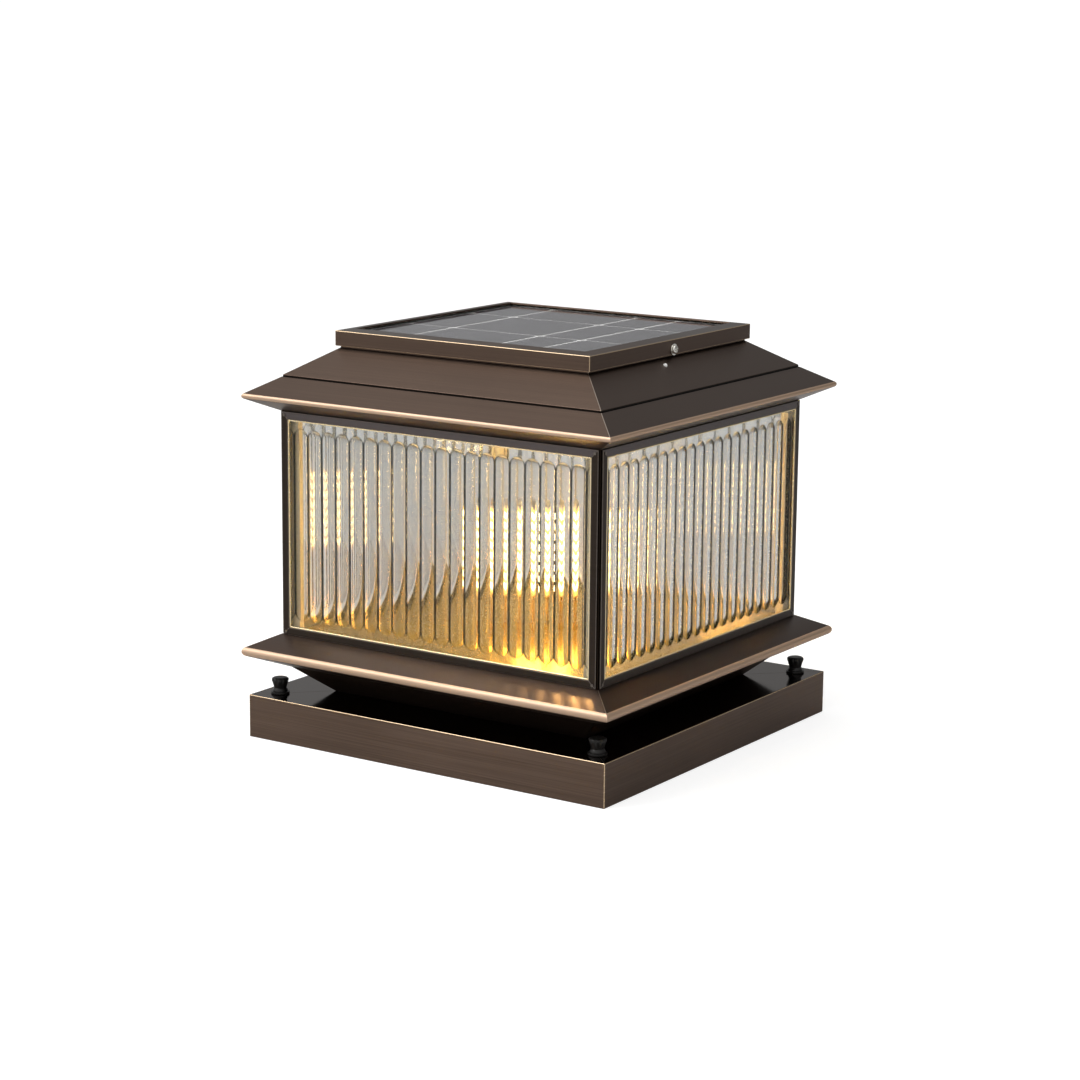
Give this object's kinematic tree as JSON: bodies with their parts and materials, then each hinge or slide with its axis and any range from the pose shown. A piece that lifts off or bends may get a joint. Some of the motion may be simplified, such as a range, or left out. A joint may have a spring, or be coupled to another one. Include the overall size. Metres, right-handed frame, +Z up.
{
  "type": "pillar light",
  "caption": "Square solar pillar lantern with fluted glass panes, hipped roof with a lift-off solar cap, and a base box held to a pillar plate by thumb nuts.",
  "frame": {"origin": "centre of the base's underside, where it stands on the pillar", "axes": "+Z up; -Y is the front face; the cap's side screws lie on the +X and -X sides"},
  "size_m": [0.3034, 0.3034, 0.2872],
  "materials": {
    "bronze": "steel sheet with a dark bronze coat, brushed along its length",
    "dark_post": "dark satin bronze",
    "black_nut": "black coated, half gloss",
    "zinc_steel": "zinc plated",
    "gold_liner": "gold coloured reflector, satin",
    "gold_bead": "bright gold bead",
    "white_liner": "white reflector, satin",
    "seal_rubber": "black rubber",
    "fluted_glass": "clear cast glass with upright flutes",
    "lamp_aluminium": "extruded, plain",
    "led_board": "white solder mask",
    "led_chip": "warm white diode",
    "black_plastic": "moulded, fine grain",
    "cell_sleeve": "shrink sleeve",
    "indicator_lens": "milky lens",
    "lead_sleeve": "insulated lead",
    "white_board": "white laminate",
    "solar_cell": "silicon cells, dark grey violet",
    "solar_cover": "clear cover",
    "bright_screw": "stainless, bright"
  },
  "bodies": {
    "lantern": {"mounting_plate": "zinc_steel", "mounting_studs": "zinc_steel", "stud_spacers": "zinc_steel", "base_box": "bronze", "neck": "bronze", "shell_rivets": "zinc_steel", "tray_ring": "bronze", "floor_plate": "gold_liner", "corner_post_front_left": "dark_post", "corner_post_front_right": "dark_post", "corner_post_back_right": "dark_post", "corner_post_back_left": "dark_post", "post_screws": "zinc_steel", "pane_front": "fluted_glass", "pane_right": "fluted_glass", "pane_back": "fluted_glass", "pane_left": "fluted_glass", "pane_seals": "seal_rubber", "pane_frame_front": "bronze", "pane_frame_right": "bronze", "pane_frame_back": "bronze", "pane_frame_left": "bronze", "glazing_beads": "gold_bead", "frame_rivets": "gold_bead", "eave_ring": "bronze", "ceiling_plate": "white_liner", "hip_roof": "bronze", "roof_screws": "zinc_steel", "lamp_foot": "gold_liner", "foot_screws": "zinc_steel", "led_column": "lamp_aluminium", "led_boards": "led_board", "led_chips": "led_chip", "battery_cradle": "black_plastic", "battery_cells": "cell_sleeve", "battery_strap": "zinc_steel", "control_module": "black_plastic", "indicator_lens": "indicator_lens", "inner_leads": "lead_sleeve"},
    "solar_cap": {"solar_frame": "bronze", "solar_board": "white_board", "solar_cells": "solar_cell", "solar_cover": "solar_cover", "solar_gasket": "seal_rubber", "junction_box": "black_plastic", "solar_lead": "black_plastic", "cap_nuts": "zinc_steel"},
    "nut_washer_front_left": {"nut_washer_front_left": "black_nut"},
    "thumb_nut_front_left": {"thumb_nut_front_left": "black_nut"},
    "nut_washer_front_right": {"nut_washer_front_right": "black_nut"},
    "thumb_nut_front_right": {"thumb_nut_front_right": "black_nut"},
    "nut_washer_back_right": {"nut_washer_back_right": "black_nut"},
    "thumb_nut_back_right": {"thumb_nut_back_right": "black_nut"},
    "nut_washer_back_left": {"nut_washer_back_left": "black_nut"},
    "thumb_nut_back_left": {"thumb_nut_back_left": "black_nut"},
    "screw_washer_right": {"screw_washer_right": "bright_screw"},
    "cap_screw_right": {"cap_screw_right": "bright_screw"},
    "screw_washer_left": {"screw_washer_left": "bright_screw"},
    "cap_screw_left": {"cap_screw_left": "bright_screw"}
  },
  "joints": [
    {"name": "nut_rise_front_left", "type": "slide", "parent": "lantern", "child": "nut_washer_front_left", "axis": [0, 0, 1], "range_m": [0, 0.0071]},
    {"name": "nut_turn_front_left", "type": "hinge", "parent": "nut_washer_front_left", "child": "thumb_nut_front_left", "pos_m": [-0.1325, -0.1325, 0.036], "axis": [0, 0, 1], "range_deg": [0, 2520]},
    {"name": "nut_rise_front_right", "type": "slide", "parent": "lantern", "child": "nut_washer_front_right", "axis": [0, 0, 1], "range_m": [0, 0.0071]},
    {"name": "nut_turn_front_right", "type": "hinge", "parent": "nut_washer_front_right", "child": "thumb_nut_front_right", "pos_m": [0.1325, -0.1325, 0.036], "axis": [0, 0, 1], "range_deg": [0, 2520]},
    {"name": "nut_rise_back_right", "type": "slide", "parent": "lantern", "child": "nut_washer_back_right", "axis": [0, 0, 1], "range_m": [0, 0.0071]},
    {"name": "nut_turn_back_right", "type": "hinge", "parent": "nut_washer_back_right", "child": "thumb_nut_back_right", "pos_m": [0.1325, 0.1325, 0.036], "axis": [0, 0, 1], "range_deg": [0, 2520]},
    {"name": "nut_rise_back_left", "type": "slide", "parent": "lantern", "child": "nut_washer_back_left", "axis": [0, 0, 1], "range_m": [0, 0.0071]},
    {"name": "nut_turn_back_left", "type": "hinge", "parent": "nut_washer_back_left", "child": "thumb_nut_back_left", "pos_m": [-0.1325, 0.1325, 0.036], "axis": [0, 0, 1], "range_deg": [0, 2520]},
    {"name": "cap_lift", "type": "slide", "parent": "lantern", "child": "solar_cap", "axis": [0, 0, 1], "range_m": [0, 0.03]},
    {"name": "screw_out_right", "type": "slide", "parent": "solar_cap", "child": "screw_washer_right", "axis": [1, 0, 0], "range_m": [0, 0.0035]},
    {"name": "screw_turn_right", "type": "hinge", "parent": "screw_washer_right", "child": "cap_screw_right", "pos_m": [0.1042, 0, 0.27914], "axis": [1, 0, 0], "range_deg": [0, 2525]},
    {"name": "screw_out_left", "type": "slide", "parent": "solar_cap", "child": "screw_washer_left", "axis": [-1, 0, 0], "range_m": [0, 0.0035]},
    {"name": "screw_turn_left", "type": "hinge", "parent": "screw_washer_left", "child": "cap_screw_left", "pos_m": [-0.1042, 0, 0.27914], "axis": [-1, 0, 0], "range_deg": [0, 2525]}
  ],
  "couplings": [
    {"joint": "nut_rise_front_left", "follows": "nut_turn_front_left", "m_per_rad": 0.00015915},
    {"joint": "nut_rise_front_right", "follows": "nut_turn_front_right", "m_per_rad": 0.00015915},
    {"joint": "nut_rise_back_right", "follows": "nut_turn_back_right", "m_per_rad": 0.00015915},
    {"joint": "nut_rise_back_left", "follows": "nut_turn_back_left", "m_per_rad": 0.00015915},
    {"joint": "screw_turn_right", "follows": "screw_out_right", "rad_per_m": 12566},
    {"joint": "screw_turn_left", "follows": "screw_out_left", "rad_per_m": 12566}
  ]
}
